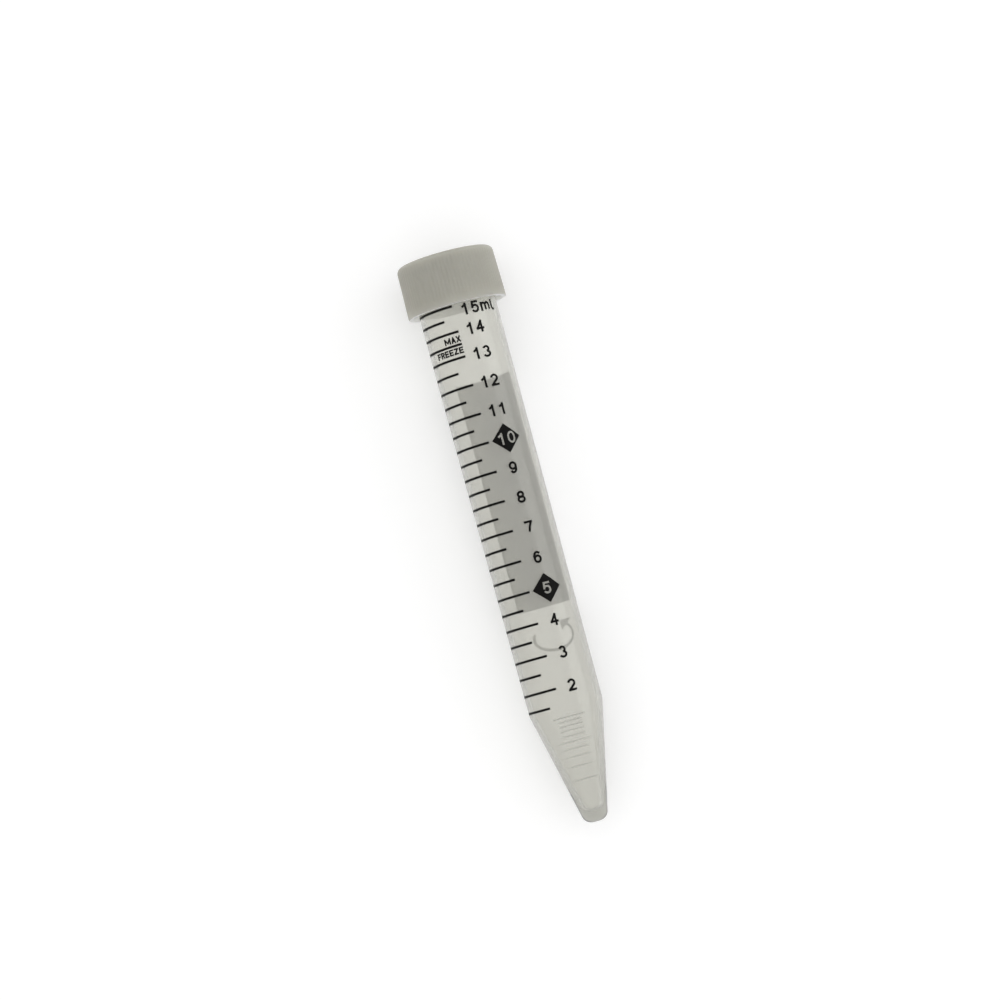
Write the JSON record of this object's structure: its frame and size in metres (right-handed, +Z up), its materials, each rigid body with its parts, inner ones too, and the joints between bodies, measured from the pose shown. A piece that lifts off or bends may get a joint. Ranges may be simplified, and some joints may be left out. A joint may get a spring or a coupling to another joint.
{
  "type": "15 ml conical centrifuge tube",
  "caption": "Graduated 15 ml conical tube in translucent plastic with a ribbed screw cap, lying on its side; the cap lifts off along the axis.",
  "frame": {"origin": "centre of the underside of the bounding box, on the bench that the tube lies on", "axes": "+X towards the cap, +Z up from the bench through the printed scale; the tube's own axis rises 1.76 degrees towards the cap"},
  "size_m": [0.1202, 0.0208, 0.0208],
  "materials": {
    "tube_plastic": "natural translucent polypropylene, satin to glossy",
    "cap_plastic": "natural milky polyethylene, satin",
    "black_ink": "black printing ink",
    "white_ink": "white printing ink with a surface that takes a pencil"
  },
  "bodies": {
    "tube": {"tube": "tube_plastic", "graduation_marks": "black_ink", "volume_numbers": "black_ink", "volume_badges": "black_ink", "fill_limit_words": "black_ink", "writing_panel": "white_ink", "ring_mark": "white_ink"},
    "cap": {"cap": "cap_plastic"}
  },
  "joints": [
    {"name": "cap_lift", "type": "slide", "parent": "tube", "child": "cap", "axis": [0.9995, 0, 0.0308], "range_m": [0, 0.02]}
  ]
}
